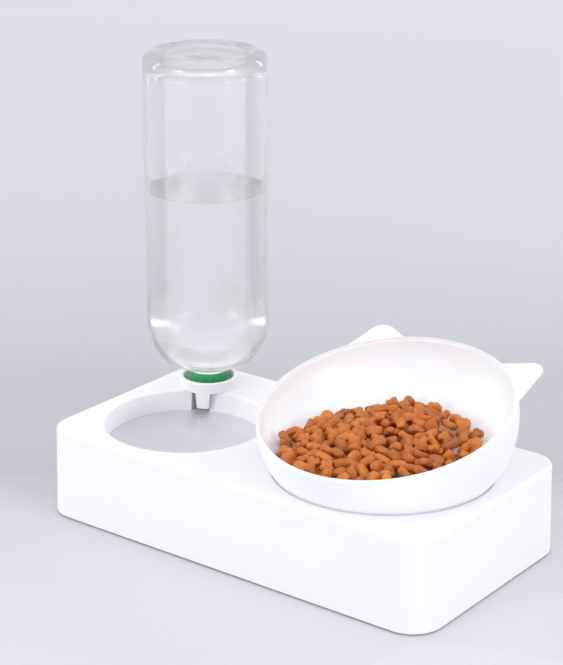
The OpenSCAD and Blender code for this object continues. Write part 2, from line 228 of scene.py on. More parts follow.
def moulded_white(name, colour, roughness, grain=0.012 * MM, coat=0.0):
    """White injection-moulded plastic: faint mottle, fine spark grain, soft gloss."""
    f = Finish(name)
    mottle = f.noise(17.0, 3.0)
    spark = f.noise(2400.0, 1.0, 0.4)
    flow = f.noise(60.0, 2.0)
    base = f.blend(mottle, rgba(colour, 0.985), rgba(colour, 1.0))
    rough = roughness + (spark - 0.5) * 0.05 + (flow - 0.5) * 0.06
    normal = f.bump(spark * 0.7 + flow * 0.3, grain)
    return f.done(
        f.principled(
            Base_Color=base,
            Roughness=rough,
            Normal=normal,
            IOR=1.5,
            Coat_Weight=coat,
            Coat_Roughness=0.08,
        )
    )


def rubber(name, colour, roughness=0.7):
    """Soft rubber with a dusty, fine-pored skin."""
    f = Finish(name)
    pores = f.noise(1500.0, 3.0, 0.6)
    dust = f.noise(120.0, 3.0)
    base = f.blend(dust, rgba(colour, 0.85), rgba(colour, 1.1))
    return f.done(
        f.principled(
            Base_Color=base,
            Roughness=roughness + (pores - 0.5) * 0.15,
            Normal=f.bump(pores, 0.03 * MM),
        )
    )


def green_plastic(name, colour):
    """Green injection-moulded plug."""
    f = Finish(name)
    cloud = f.noise(220.0, 2.0)
    return f.done(
        f.principled(
            Base_Color=f.blend(cloud, rgba(colour, 0.8), rgba(colour, 1.15)),
            Roughness=0.28 + (cloud - 0.5) * 0.1,
            Normal=f.bump(f.noise(2600.0), 0.01 * MM),
        )
    )


def spring_wire(name):
    """Drawn steel wire."""
    f = Finish(name)
    streak = f.noise(900.0, 3.0)
    return f.done(
        f.principled(
            Base_Color=f.blend(streak, (0.5, 0.5, 0.52, 1), (0.72, 0.72, 0.74, 1)),
            Metallic=1.0,
            Roughness=0.22 + streak * 0.12,
            Normal=f.bump(streak, 0.008 * MM),
        )
    )


def see_through(f, shader, tint, straight):
    """A clear piece that casts a light shadow and lets a share of the view pass straight.

    The straight share keeps thick edges from going black.
    """
    clear = f.add("ShaderNodeBsdfTransparent", None, {"Color": rgba(tint)})
    shadow = f.add("ShaderNodeLightPath", None, None, "Is Shadow Ray")
    share = shadow * (1.0 - straight) + straight
    return f.add("ShaderNodeMixShader", None, {0: share, 1: shader, 2: clear})


def above_shoulder(z):
    """0 round the bottle's shoulder, rising to 1 over it."""
    return ((z - SHOULDER_LOOK_Z) / SHOULDER_FADE).clamp()


def clear_bottle(name, tint):
    """Clear bottle wall with the slow upright waves and the faint haze of a blown bottle."""
    f = Finish(name)
    x, y, z = f.parts_of(f.where)
    stretched = f.add("ShaderNodeCombineXYZ", None, {"X": x, "Y": y, "Z": z * 0.22})
    waves = f.noise(26.0, 1.0, 0.4, stretched)
    shader = f.principled(
        Base_Color=rgba(tint),
        Roughness=0.0,
        IOR=1.49,
        Transmission_Weight=0.95,
        Normal=f.bump(waves, 0.6 * MM),
    )
    neck = ((NECK_LOOK_Z - z) / NECK_FADE).clamp()
    straight = neck * 0.78 + above_shoulder(z) * 0.23 + 0.12
    return f.done(see_through(f, shader, (0.985, 0.99, 0.99), straight))


def water(name, tint, ripple, ripple_scale, shadow_tint, straight=0.0, clearness=1.0):
    """Still water with a faint swell; the straight share counts above the bottle's shoulder."""
    f = Finish(name)
    swell = f.noise(ripple_scale)
    z = f.parts_of(f.where)[2]
    shader = f.principled(
        Base_Color=rgba(tint),
        Roughness=0.0,
        IOR=1.333,
        Transmission_Weight=clearness,
        Normal=f.bump(swell, ripple),
    )
    return f.done(see_through(f, shader, shadow_tint, above_shoulder(z) * straight))


def kibble_crust(name, light, dark):
    """Baked crust: orange-brown with browner patches, crumbs and pores."""
    f = Finish(name)
    own = f.add("ShaderNodeAttribute", {"attribute_name": "bake"}, None, "Fac")
    patches = f.noise(230.0, 3.0, 0.6)
    crumbs = f.noise(950.0, 4.0, 0.7)
    pores = f.add("ShaderNodeTexVoronoi", None, {"Vector": f.where, "Scale": 900.0}, "Distance")
    mix = (own * 0.4 + patches * 0.8 + crumbs * 0.5 - 0.25).clamp()
    height = crumbs * 0.6 + pores * 0.4 + patches * 0.5
    return f.done(
        f.principled(
            Base_Color=f.blend(mix, rgba(dark), rgba(light)),
            Roughness=0.42 + (crumbs - 0.5) * 0.3,
            Normal=f.bump(height, 0.6 * MM),
        )
    )


# ---------------------------------------------------------------- mesh helpers


def new_object(name, mesh):
    """Object of a mesh, in the scene."""
    obj = bpy.data.objects.new(name, mesh)
    bpy.context.scene.collection.objects.link(obj)
    return obj


def shade(obj, sharp):
    """Smooth shading with sharp edges over an angle in degrees."""
    mesh = obj.data
    mesh.polygons.foreach_set("use_smooth", [True] * len(mesh.polygons))
    mesh.set_sharp_from_angle(angle=math.radians(sharp))
    mesh.update()


def ring_mesh(name, rings):
    """Closed skin over rings of points; a ring of one point is a pole."""
    bm = bmesh.new()
    made = [[bm.verts.new(p) for p in ring] for ring in rings]
    for low, high in zip(made, made[1:]):
        count = max(len(low), len(high))
        for k in range(count):
            corners = [
                low[k % len(low)],
                low[(k + 1) % len(low)],
                high[(k + 1) % len(high)],
                high[k % len(high)],
            ]
            unique = list(dict.fromkeys(corners))
            if len(unique) > 2:
                bm.faces.new(unique)
    bmesh.ops.recalc_face_normals(bm, faces=bm.faces)
    mesh = bpy.data.meshes.new(name)
    bm.to_mesh(mesh)
    bm.free()
    return new_object(name, mesh)


def circle(x, y, radius, steps):
    """Points at even turns round a middle, as (x, y)."""
    turns = [2 * math.pi * k / steps for k in range(steps)]
    return [(x + radius * math.cos(t), y + radius * math.sin(t)) for t in turns]


def lathe(name, outline, axis, steps=128):
    """Turns an outline of (radius, height) pairs about an upright axis."""
    rings = []
    for radius, height in outline:
        count = steps if radius > 0 else 1
        rings.append([Vector((*p, height)) for p in circle(axis[0], axis[1], radius, count)])
    return ring_mesh(name, rings)


def arc(x, y, radius, start, end, steps):
    """Points of a round from one turn to another, in degrees."""
    turns = [math.radians(start + (end - start) * i / steps) for i in range(steps + 1)]
    return [(x + radius * math.cos(t), y + radius * math.sin(t)) for t in turns]


def settle(obj):
    """Makes an object's modifiers part of its mesh."""
    bpy.context.view_layer.update()
    graph = bpy.context.evaluated_depsgraph_get()
    mesh = bpy.data.meshes.new_from_object(obj.evaluated_get(graph))
    obj.modifiers.clear()
    obj.data = mesh
    return obj


def unite(obj, other):
    """Makes two closed pieces one; the second is used up."""
    change = obj.modifiers.new("unite", "BOOLEAN")
    change.operation = "UNION"
    change.solver = "EXACT"
    change.object = other
    settle(obj)
    bpy.data.objects.remove(other)


def smooth_copy(node, name, sharp=28.0):
    """A node's own shape with its flat triangles joined, so that rounds shade smoothly."""
    flat = math.radians(0.2)
    bm = bmesh.new()
    bm.from_mesh(NODES[node].data)
    bmesh.ops.remove_doubles(bm, verts=bm.verts, dist=2e-6)
    bmesh.ops.dissolve_limit(bm, angle_limit=flat, verts=bm.verts, edges=bm.edges)
    mesh = bpy.data.meshes.new(name)
    bm.to_mesh(mesh)
    bm.free()
    obj = new_object(name, mesh)
    shade(obj, sharp)
    weigh = obj.modifiers.new("weigh", "WEIGHTED_NORMAL")
    weigh.mode = "FACE_AREA"
    weigh.weight = 90
    weigh.keep_sharp = True
    return settle(obj)


def dress(obj, body, material, slot, *nodes):
    """Gives a piece its finish and its body, and hides the nodes that it stands for."""
    obj.data.materials.clear()
    obj.data.materials.append(material)
    if nodes:
        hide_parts(*nodes)
    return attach(obj, body)


# ---------------------------------------------------------------- settings


def length(name, text, value):
    return bpy.props.FloatProperty(
        name=name, description=text, default=value, unit="LENGTH", precision=5
    )


def angle(name, text, degrees):
    return bpy.props.FloatProperty(
        name=name, description=text, default=math.radians(degrees), subtype="ANGLE"
    )


def colour(name, text, value):
    return bpy.props.FloatVectorProperty(
        name=name, description=text, default=value, subtype="COLOR", size=3, min=0.0, max=1.0
    )


class FeederBowlSizes(bpy.types.PropertyGroup):
    """Sizes of the food bowl."""

    centre_x: length("Centre X", "Middle of the bowl's seat along X", 56.66 * MM)
    centre_y: length("Centre Y", "Middle of the bowl's seat along Y", -2.4924 * MM)
    seat_z: length("Seat height", "Bottom of the bowl's foot", 42.0 * MM)
    top_z: length("Base height", "Top face of the base", 50.0 * MM)
    foot_r: length("Foot radius", "Outer radius of the foot", 58.2 * MM)
    rim_r: length("Rim radius", "Outer radius of the rim", 67.9 * MM)
    rim_z: length("Rim height", "Height of the rim's middle over the floor", 84.8 * MM)
    rim_back: length("Rim set-back", "How far back the rim's middle lies", 0.9 * MM)
    edge_r: length("Rim rounding", "Rounding of the rim's outer edge", 1.3 * MM)
    land: length("Rim land", "Flat land inside the rounding", 0.2 * MM)
    lip: length("Lip width", "Width of the fine step inside the rim", 0.45 * MM)
    lip_z: length("Lip depth", "Depth of the fine step under the rim", 1.6 * MM)
    depth: length("Depth", "Depth of the inside, square to the rim", 31.0 * MM)
    wall: length("Wall", "Wall thickness", 1.8 * MM)
    tilt: angle("Tilt", "Tilt to the front", 13.8)
    heading: angle("Heading", "Turn in the seat", -1.5)
    fullness: bpy.props.FloatProperty(
        name="Fullness", description="2 is an ellipse, more is squarer", default=2.5, min=1.5, max=4
    )
    ear_reach: length("Ear reach", "How far an ear's tip stands out", 17.6 * MM)
    ear_tip_r: length("Ear tip", "Rounding of an ear's tip", 6.9 * MM)
    ear_t: length("Ear thickness", "Thickness of an ear", 2.0 * MM)
    ear_drop: length("Ear drop", "How far an ear lies under the rim", 2.2 * MM)
    ear_angle: angle("Ear angle", "Angle from the back to an ear's tip", 37.3)


class FeederWaterSizes(bpy.types.PropertyGroup):
    """Sizes of the basin and of the water."""

    basin_x: length("Basin X", "Middle of the basin along X", -67.14 * MM)
    basin_y: length("Basin Y", "Middle of the basin along Y", -14.2924 * MM)
    basin_r: length("Basin radius", "Inner radius just below the lip", 45.0 * MM)
    basin_draft: length("Basin draft", "How much the basin narrows", 2.5 * MM)
    basin_floor_r: length("Basin rounding", "Rounding of the basin's floor", 10.0 * MM)
    top_z: length("Base height", "Top face of the base", 50.0 * MM)
    basin_floor_z: length("Basin floor", "Height of the basin's floor", 22.0 * MM)
    well_r: length("Well radius", "Radius of the well under the bottle", 9.3 * MM)
    slot_w: length("Slot width", "Width of the slot between well and basin", 10.4 * MM)
    slot_l: length("Slot length", "Length of the slot from the bottle's axis", 23.8 * MM)
    slot_turn: angle("Slot turn", "Heading of the slot", 287.5)
    basin_water_z: length("Basin water", "Height of the water in the basin", 38.0 * MM)
    bottle_water_z: length("Bottle water", "Height of the water in the bottle", 167.0 * MM)
    show_contents: bpy.props.BoolProperty(
        name="Contents", description="Add the food and the water", default=True
    )


class FeederColours(bpy.types.PropertyGroup):
    """Colours of the feeder."""

    base_white: colour("Base", "White of the base", (0.925, 0.922, 0.93))
    bowl_white: colour("Bowl", "White of the food bowl", (0.925, 0.945, 0.965))
    bottle_tint: colour("Bottle", "Tint of the clear bottle", (0.99, 0.996, 0.993))
    water_tint: colour("Water", "Tint of the water", (0.985, 0.995, 0.995))
    # The basin water's grey-blue colour is painted shade and reflection, not the water's own colour
    basin_painted_shade: colour("Basin water", "Tint of the water in the basin", (0.76, 0.795, 0.85))
    valve_green: colour("Valve", "Green of the valve plug", (0.03, 0.42, 0.12))
    kibble_light: colour("Food, light", "Light crust", (0.84, 0.25, 0.032))
    kibble_dark: colour("Food, dark", "Dark crust", (0.24, 0.055, 0.006))
    floor_tint: colour("Floor", "Tint of the floor", (0.955, 0.95, 1.0))


def sizes():
    """Sizes of the bowl, and of the basin and the water."""
    return bpy.context.scene.feeder_bowl, bpy.context.scene.feeder_water


def tints():
    """Colours of the feeder."""
    return bpy.context.scene.feeder_colours


# ---------------------------------------------------------------- bowl geometry


def bowl_place(s, local):
    """From the bowl's own upright axes to the frame."""
    turned = Matrix.Rotation(s.heading, 4, "Z") @ Vector(local)
    return turned + Vector((s.centre_x, s.centre_y, 0.0))


def on_rim(s, radius, down, heading):
    """Point at a radius and depth under the rim's plane, in the bowl's upright axes."""
    flat = Vector((radius * math.cos(heading), radius * math.sin(heading), -down))
    return Matrix.Rotation(s.tilt, 4, "X") @ flat + Vector((0.0, s.rim_back, s.rim_z))


def skirt_point(s, heading, share, inset):
    """Point of the outside at a share of the way up from the foot to the rim.

    The way up is a cubic curve that leaves the foot outwards and meets the rim from below.
    """
    foot_out, foot_up, rim_fall, rim_flare = 0.055, 0.05, 0.65, 0.03
    out = Vector((math.cos(heading), math.sin(heading), 0.0))
    foot = Vector((0.0, 0.0, s.top_z)) + (s.foot_r - inset) * out
    rim = on_rim(s, s.rim_r - inset, s.edge_r, heading)
    centre = on_rim(s, 0.0, s.edge_r, heading)
    rim_out = (rim - centre).normalized()
    rim_down = Matrix.Rotation(s.tilt, 3, "X") @ Vector((0.0, 0.0, -1.0))
    height = rim.z - s.top_z
    low = foot + height * Vector((foot_out * out.x, foot_out * out.y, foot_up))
    high = rim + height * (rim_fall * rim_down + rim_flare * rim_out)
    rest = 1.0 - share
    return rest**3 * foot + 3 * share * rest**2 * low + 3 * share**2 * rest * high + share**3 * rim


def bowl_rings(s, steps):
    """Rings of the bowl's whole skin, from the middle of the inside to the underside."""
    inside_steps, skirt_steps, under_steps, foot_steps = 28, 24, 16, 8
    foot_edge = 0.5 * MM
    gap = 0.9 * MM
    turns = [2 * math.pi * k / steps for k in range(steps)]
    power = 2.0 / s.fullness
    bead_x = s.rim_r - s.edge_r
    inner_r = bead_x - s.land

    # Inside, and the fine step under the rim
    profile = []
    for i in range(1, inside_steps + 1):
        a = math.radians(90.0 * (1 - i / inside_steps))
        r, d = (inner_r - s.lip) * math.cos(a) ** power, s.depth * math.sin(a) ** power
        if d > 1.35 * s.lip_z:
            profile.append((r, d))
    for share, down in ((0.0, 1.2), (0.15, 1.05), (0.85, 0.95), (1.0, 0.8), (1.0, 0.0)):
        profile.append((inner_r - s.lip * (1.0 - share), s.lip_z * down))
    rings = [[on_rim(s, r, d, t) for t in turns] for r, d in profile]
    rings.insert(0, [on_rim(s, 0.0, s.depth, 0.0)])

    # Rounded rim, outside and foot
    for r, h in arc(bead_x, -s.edge_r, s.edge_r, 90, 0, 8):
        rings.append([on_rim(s, r, -h, t) for t in turns])
    for i in range(1, skirt_steps + 1):
        rings.append([skirt_point(s, t, 1.0 - i / skirt_steps, 0.0) for t in turns])
    foot = [
        (s.foot_r - foot_edge * (1 - math.cos(a)), s.seat_z + foot_edge * (1 - math.sin(a)))
        for a in (0, 0.8, 1.57)
    ]
    foot.append((s.foot_r - s.wall, s.seat_z))
    for r, z in foot:
        rings.append([Vector((r * math.cos(t), r * math.sin(t), z)) for t in turns])

    # Hollow underside
    for i in range(foot_steps + 1):
        rings.append([skirt_point(s, t, 0.9 * i / foot_steps, s.wall) for t in turns])
    for i in range(2, under_steps):
        a = math.radians(90.0 * i / under_steps)
        r, d = (inner_r + gap) * math.cos(a) ** power, (s.depth + s.wall) * math.sin(a) ** power
        rings.append([on_rim(s, r, d, t) for t in turns])
    rings.append([on_rim(s, 0.0, s.depth + s.wall, 0.0)])
    return [[bowl_place(s, p) for p in ring] for ring in rings]


def hull_outline(circles, steps=64):
    """Outline round some circles, as points turned about their middle."""
    points = sorted({p for x, y, r in circles for p in circle(x, y, r, steps)})

    def half(run):
        """One side of the outline: only left turns are kept."""
        kept = []
        for p in run:
            while len(kept) > 1:
                (ax, ay), (bx, by) = kept[-2], kept[-1]
                if (bx - ax) * (p[1] - ay) - (by - ay) * (p[0] - ax) > 0:
                    break
                kept.pop()
            kept.append(p)
        return kept[:-1]

    return half(points) + half(points[::-1])


def keep_outside(outline, limit):
    """The outline with its long edges divided and its points kept outside a circle."""
    longest = 1.5 * MM
    kept = []
    for (x, y), (nx, ny) in zip(outline, outline[1:] + outline[:1]):
        count = max(1, math.ceil(math.hypot(nx - x, ny - y) / longest))
        for i in range(count):
            px, py = x + (nx - x) * i / count, y + (ny - y) * i / count
            push = max(1.0, limit / math.hypot(px, py))
            kept.append((px * push, py * push))
    return kept


def ear_piece(s, side, name):
    """One ear: a rounded plate under the rim, on the right (1) or the left (-1)."""
    soft = 0.55 * MM
    tip = math.pi / 2 - s.ear_angle
    tip_r = s.rim_r + s.ear_reach - s.ear_tip_r
    root_r = s.rim_r - 0.75 * MM
    circles = [(tip_r * math.cos(tip), tip_r * math.sin(tip), s.ear_tip_r)]
    for turn in (math.radians(11.8), math.radians(-20.5)):
        circles.append((root_r * math.cos(tip + turn), root_r * math.sin(tip + turn), 0.4 * MM))
    outline = keep_outside(hull_outline(circles), root_r)
    middle_x = sum(p[0] for p in outline) / len(outline)
    middle_y = sum(p[1] for p in outline) / len(outline)
    place = Matrix.Rotation(s.tilt, 4, "X")

    def plate_point(x, y, drop):
        flat = Vector((side * x, y, -drop))
        return bowl_place(s, place @ flat + Vector((0.0, s.rim_back, s.rim_z)))

    layers = []
    for a in (0, 30, 60, 90):
        turn = math.radians(a)
        layers.append((soft * (1 - math.sin(turn)), soft * (1 - math.cos(turn))))
    levels = [(inset, s.ear_drop + drop) for inset, drop in layers]
    levels += [(inset, s.ear_drop + s.ear_t - drop) for inset, drop in reversed(layers)]
    rings = [[plate_point(middle_x, middle_y, s.ear_drop)]]
    for inset, drop in levels:
        ring = []
        for x, y in outline:
            away = Vector((x - middle_x, y - middle_y))
            away = away * (1 - inset / away.length)
            ring.append(plate_point(middle_x + away.x, middle_y + away.y, drop))
        rings.append(ring)
    rings.append([plate_point(middle_x, middle_y, s.ear_drop + s.ear_t)])
    return ring_mesh(name, rings)


def slot_strip(s, lap, low, high):
    """Water in the slot between the well and the basin."""
    along = Vector((math.cos(s.slot_turn), math.sin(s.slot_turn), 0.0))
    across = Vector((-along.y, along.x, 0.0)) * (s.slot_w / 2 + lap)
    start = Vector((AXIS.x, AXIS.y, 0.0))
    end = start + along * s.slot_l
    corners = (start - across, end - across, end + across, start + across)
    middle = (start + end) / 2
    rings = [[middle + Vector((0, 0, low))]]
    rings += [[c + Vector((0, 0, z)) for c in corners] for z in (low, high)]
    rings.append([middle + Vector((0, 0, high))])
    return ring_mesh("slot_water", rings)


# ---------------------------------------------------------------- bottle geometry


def shoulder(neck, body, low):
    """Outline from the mouth over the shoulder to the body, outside or inside."""
    points = [(neck, MOUTH_Z + 0.3 * MM), (neck, low - 0.6 * MM)]
    points.append((neck + 0.15 * MM, low - 0.15 * MM))
    for a in range(4, 91, 4):
        t = math.radians(a)
        height = low + (BODY_Z - low) * (1 - math.cos(t))
        points.append((neck + (body - neck) * math.sin(t), height))
    return points


def straight_wall(radius, high):
    """Points up the body, without its ends."""
    steps = 12
    return [(radius, BODY_Z + (high - BODY_Z) * i / steps) for i in range(1, steps)]


def bottle_outside():
    """Outside of the bottle from the mouth to the middle of its dished base."""
    dish_steps = 12
    edge = BOTTLE_R - HEEL_R
    points = shoulder(NECK_R, BOTTLE_R, SHOULDER_Z)
    points += straight_wall(BOTTLE_R, TOP_Z - HEEL_R)
    points += arc(edge, TOP_Z - HEEL_R, HEEL_R, 0, 90, 14)
    for i in range(1, dish_steps + 1):
        dip = DISH_DEPTH * (1 - math.cos(math.pi * i / dish_steps)) / 2
        points.append((edge - DISH_SLOPE * i / dish_steps, TOP_Z - dip))
    dish_z = TOP_Z - DISH_DEPTH
    points += [(GATE_R, dish_z), (GATE_R * 0.8, dish_z + 0.35 * MM), (0.0, dish_z + GATE_H)]
    return points


def bottle_inside():
    """Inside of the bottle from the mouth to the middle of its thick base."""
    wall_r = BOTTLE_R - BOTTLE_WALL
    edge = wall_r - INNER_HEEL_R
    high = FLOOR_Z - INNER_HEEL_R
    points = shoulder(NECK_BORE_R, wall_r, SHOULDER_Z + BOTTLE_WALL)
    points += straight_wall(wall_r, high)
    points += arc(edge, high, INNER_HEEL_R, 0, 90, 14)
    points += [(edge - 1.0 * MM, FLOOR_Z + 0.1 * MM), (edge - 2.2 * MM, FLOOR_Z + FLOOR_RISE)]
    points.append((0.0, FLOOR_Z + FLOOR_RISE))
    return points


def bottle_outline():
    """Closed outline of the bottle's wall."""
    lip = [(NECK_BORE_R + 0.3 * MM, MOUTH_Z), (NECK_R - 0.3 * MM, MOUTH_Z)]
    return bottle_inside()[::-1] + lip + bottle_outside()


# ---------------------------------------------------------------- dry food

# Biscuits: shares of the radius at even turns, then the radius and half the thickness
KIBBLE_SHAPES = {
    "star": ([1.0, 0.93, 0.66] * 5, 4.9 * MM, 1.9 * MM),
    "cross": ([1.0, 0.98, 0.6, 0.98] * 4, 4.7 * MM, 1.8 * MM),
    "bone": ([1.0, 0.98, 0.7, 0.55, 0.52, 0.55, 0.7, 0.98] * 2, 4.9 * MM, 1.8 * MM),
    "cushion": ([1.0, 0.97, 0.86, 0.86, 0.97] * 3, 4.2 * MM, 2.1 * MM),
    "clover": ([1.0, 0.98, 0.7, 0.98] * 3, 4.6 * MM, 1.9 * MM),
    "oval": ([1.0, 0.96, 0.82, 0.7, 0.66, 0.7, 0.82, 0.96] * 2, 4.9 * MM, 2.0 * MM),
}


def kibble_piece(name, radii, radius, half):
    """One biscuit: a puffed plate with rounded edges."""
    turns = circle(0.0, 0.0, radius, len(radii))
    rings = [[Vector((0, 0, -half))]]
    for share, level in ((0.84, -0.98), (1.0, -0.55), (1.0, 0.55), (0.84, 0.98)):
        grown = [(x * r * share, y * r * share) for (x, y), r in zip(turns, radii)]
        rings.append([Vector((*p, half * level)) for p in grown])
    rings.append([Vector((0, 0, half))])
    obj = ring_mesh(name, rings)
    shade(obj, 48)
    return obj


# Heap of biscuits in the bowl
HEAP_Z = 65.8 * MM
HILL_H = 2.2 * MM
HILL_Y = 6.0 * MM
HILL_R = 26.0 * MM
HEAP_LAYERS = 4
LAYER_DROP = 2.9 * MM
WALL_GAP = 2.6 * MM
SHEET_STEP = 2.0 * MM


def heap_height(x, y):
    """Top of the heap over a point from the bowl's middle: a low hill that falls to the left."""
    hill = HILL_H * math.exp(-(x**2 + (y - HILL_Y) ** 2) / (2 * HILL_R**2))
    return HEAP_Z + hill + 0.04 * (y + 60.0 * MM) - 0.14 * max(0.0, -x - 8.0 * MM)


def in_bowl(s, x, y, z):
    """True where a point of the bowl's upright axes is inside it, clear of the wall."""
    flat = Matrix.Rotation(-s.tilt, 4, "X") @ Vector((x, y - s.rim_back, z - s.rim_z))
    inner_r = s.rim_r - s.edge_r - s.land
    share = min(max((-flat.z + WALL_GAP) / s.depth, 0.0), 1.0)
    wall_r = inner_r * (1 - share**s.fullness) ** (1 / s.fullness)
    return math.hypot(flat.x, flat.y) + WALL_GAP < wall_r


def heap_surface(s):
    """Sheets of the heap: its top and some below it, cut to the bowl's inside."""
    reach = math.ceil(s.rim_r / SHEET_STEP)
    bm = bmesh.new()
    for layer in range(HEAP_LAYERS):
        grid = {}
        for i in range(-reach, reach + 1):
            for k in range(-reach, reach + 1):
                x, y = i * SHEET_STEP, k * SHEET_STEP
                z = heap_height(x, y) - layer * LAYER_DROP
                if in_bowl(s, x, y, z):
                    grid[i, k] = bm.verts.new(bowl_place(s, (x, y, z)))
        for i, k in grid:
            corners = [(i, k), (i + 1, k), (i + 1, k + 1), (i, k + 1)]
            if all(c in grid for c in corners):
                bm.faces.new([grid[c] for c in corners])
    mesh = bpy.data.meshes.new("heap")
    bm.to_mesh(mesh)
    bm.free()
    return new_object("dry_food", mesh)


def scatter_tree(material, shapes):
    """Geometry nodes that pile biscuits on a surface."""
    tree = bpy.data.node_groups.new("Pile of biscuits", "GeometryNodeTree")
    face = tree.interface
    face.new_socket("Geometry", in_out="OUTPUT", socket_type="NodeSocketGeometry")
    face.new_socket("Geometry", in_out="INPUT", socket_type="NodeSocketGeometry")
    for name, value in (("Spacing", 6.6 * MM), ("Tilt", 1.05), ("Size", 1.0)):
        sock = face.new_socket(name, in_out="INPUT", socket_type="NodeSocketFloat")
        sock.default_value = value
    seed = face.new_socket("Seed", in_out="INPUT", socket_type="NodeSocketInt")
    seed.default_value = 7

    def add(kind, settings=None, inputs=None):
        node = tree.nodes.new(kind)
        for key, value in (settings or {}).items():
            setattr(node, key, value)
        for key, value in (inputs or {}).items():
            if isinstance(value, bpy.types.NodeSocket):
                tree.links.new(value, node.inputs[key])
            else:
                node.inputs[key].default_value = value
        return node

    given = add("NodeGroupInput").outputs
    seed = given["Seed"]
    points = add(
        "GeometryNodeDistributePointsOnFaces",
        {"distribute_method": "POISSON"},
        {
            "Mesh": given["Geometry"],
            "Distance Min": given["Spacing"],
            "Density Max": 90000.0,
            "Seed": seed,
        },
    )
    lean = add(
        "FunctionNodeRandomValue",
        {"data_type": "FLOAT_VECTOR"},
        {0: (-1.0, -1.0, -7.0), 1: (1.0, 1.0, 7.0), "Seed": seed},
    )
    tilt = add("ShaderNodeCombineXYZ", None, {"X": given["Tilt"], "Y": given["Tilt"], "Z": 1.0})
    turn = add(
        "ShaderNodeVectorMath", {"operation": "MULTIPLY"}, {0: lean.outputs[0], 1: tilt.outputs[0]}
    )
    grow = add("FunctionNodeRandomValue", {"data_type": "FLOAT"}, {2: 0.86, 3: 1.1, "Seed": seed})
    scale = add("ShaderNodeMath", {"operation": "MULTIPLY"}, {0: grow.outputs[1], 1: given["Size"]})
    last = len(KIBBLE_SHAPES) - 1
    pick = add("FunctionNodeRandomValue", {"data_type": "INT"}, {4: 0, 5: last, "Seed": 3})
    store = add(
        "GeometryNodeCollectionInfo",
        None,
        {"Collection": shapes, "Separate Children": True, "Reset Children": True},
    )
    whole = add(
        "GeometryNodeInstanceOnPoints",
        None,
        {
            "Points": points.outputs["Points"],
            "Instance": store.outputs[0],
            "Pick Instance": True,
            "Instance Index": pick.outputs[2],
            "Rotation": turn.outputs[0],
            "Scale": scale.outputs[0],
        },
    )
    baked = add("FunctionNodeRandomValue", {"data_type": "FLOAT"}, {2: 0.0, 3: 1.0, "Seed": 5})
    bake = add(
        "GeometryNodeStoreNamedAttribute",
        {"data_type": "FLOAT", "domain": "INSTANCE"},
        {"Geometry": whole.outputs[0], "Name": "bake", "Value": baked.outputs[1]},
    )
    real = add("GeometryNodeRealizeInstances", None, {"Geometry": bake.outputs[0]})
    coat = add("GeometryNodeSetMaterial", None, {"Geometry": real.outputs[0], "Material": material})
    out = add("NodeGroupOutput")
    tree.links.new(coat.outputs[0], out.inputs[0])
    return tree


def make_food():
    """The heap of biscuits, turned to a plain mesh that rides with the bowl."""
    crust = kibble_crust("kibble_crust", tints().kibble_light, tints().kibble_dark)
    shapes = bpy.data.collections.new("biscuits")
    for name, (radii, radius, half) in KIBBLE_SHAPES.items():
        obj = kibble_piece("biscuit_" + name, radii, radius, half)
        bpy.context.scene.collection.objects.unlink(obj)
        shapes.objects.link(obj)
    heap = heap_surface(sizes()[0])
    modifier = heap.modifiers.new("pile", "NODES")
    modifier.node_group = scatter_tree(crust, shapes)
    settle(heap)
    for obj in list(shapes.objects):
        bpy.data.objects.remove(obj)
    bpy.data.collections.remove(shapes)
    dress(heap, "bowl", crust, None)


# ---------------------------------------------------------------- operators


class FEEDER_OT_base(bpy.types.Operator):
    """Moulded base with its basin, well and seat"""

    bl_idname = "feeder.base"
    bl_label = "Base housing"

    def execute(self, context):
        white = moulded_white("base_moulding", tints().base_white, 0.36)
        shell = smooth_copy("base_housing", "base_shell")
        dress(shell, "base", white, "base_shell", "base_housing")
        return {"FINISHED"}


class FEEDER_OT_feet(bpy.types.Operator):
    """Rubber feet under the base"""

    bl_idname = "feeder.feet"
    bl_label = "Feet"

    def execute(self, context):
        grey = rubber("foot_rubber", (0.42, 0.43, 0.45))
        for corner in ("front_left", "front_right", "back_left", "back_right"):
            node = "foot_" + corner
            dress(smooth_copy(node, "pad_" + corner), "base", grey, "foot", node)
        return {"FINISHED"}


class FEEDER_OT_socket(bpy.types.Operator):
    """Collar, sleeve and splash tongue that hold the bottle"""

    bl_idname = "feeder.socket"
    bl_label = "Bottle socket"

    def execute(self, context):
        white = moulded_white("socket_moulding", tints().base_white, 0.3)
        collar = smooth_copy("bottle_socket", "socket_collar")
        dress(collar, "base", white, "socket", "bottle_socket")
        return {"FINISHED"}


class FEEDER_OT_valve(bpy.types.Operator):
    """Green valve plug, its plunger, seal, clip and spring"""

    bl_idname = "feeder.valve"
    bl_label = "Valve"

    def execute(self, context):
        green = green_plastic("valve_green", tints().valve_green)
        dark = moulded_white("plunger_moulding", (0.07, 0.13, 0.11), 0.42)
        black = rubber("seal_rubber", (0.03, 0.03, 0.032), 0.55)
        pale = rubber("gasket_rubber", (0.62, 0.63, 0.63), 0.6)
        steel = spring_wire("spring_steel")
        for node, name, body, material, slot in (
            ("valve_body", "valve_plug", "valve", green, "valve"),
            ("neck_gasket", "mouth_gasket", "valve", pale, "gasket"),
            ("valve_plunger", "plunger_disc", "plunger", dark, "plunger"),
            ("stem_clip", "plunger_clip", "plunger", dark, "clip"),
            ("plunger_seal", "disc_seal", "plunger", black, "seal"),
        ):
            dress(smooth_copy(node, name), body, material, slot, node)
        spring = smooth_copy("valve_spring", "return_spring", 75.0)
        dress(spring, "plunger", steel, "spring", "valve_spring")
        return {"FINISHED"}


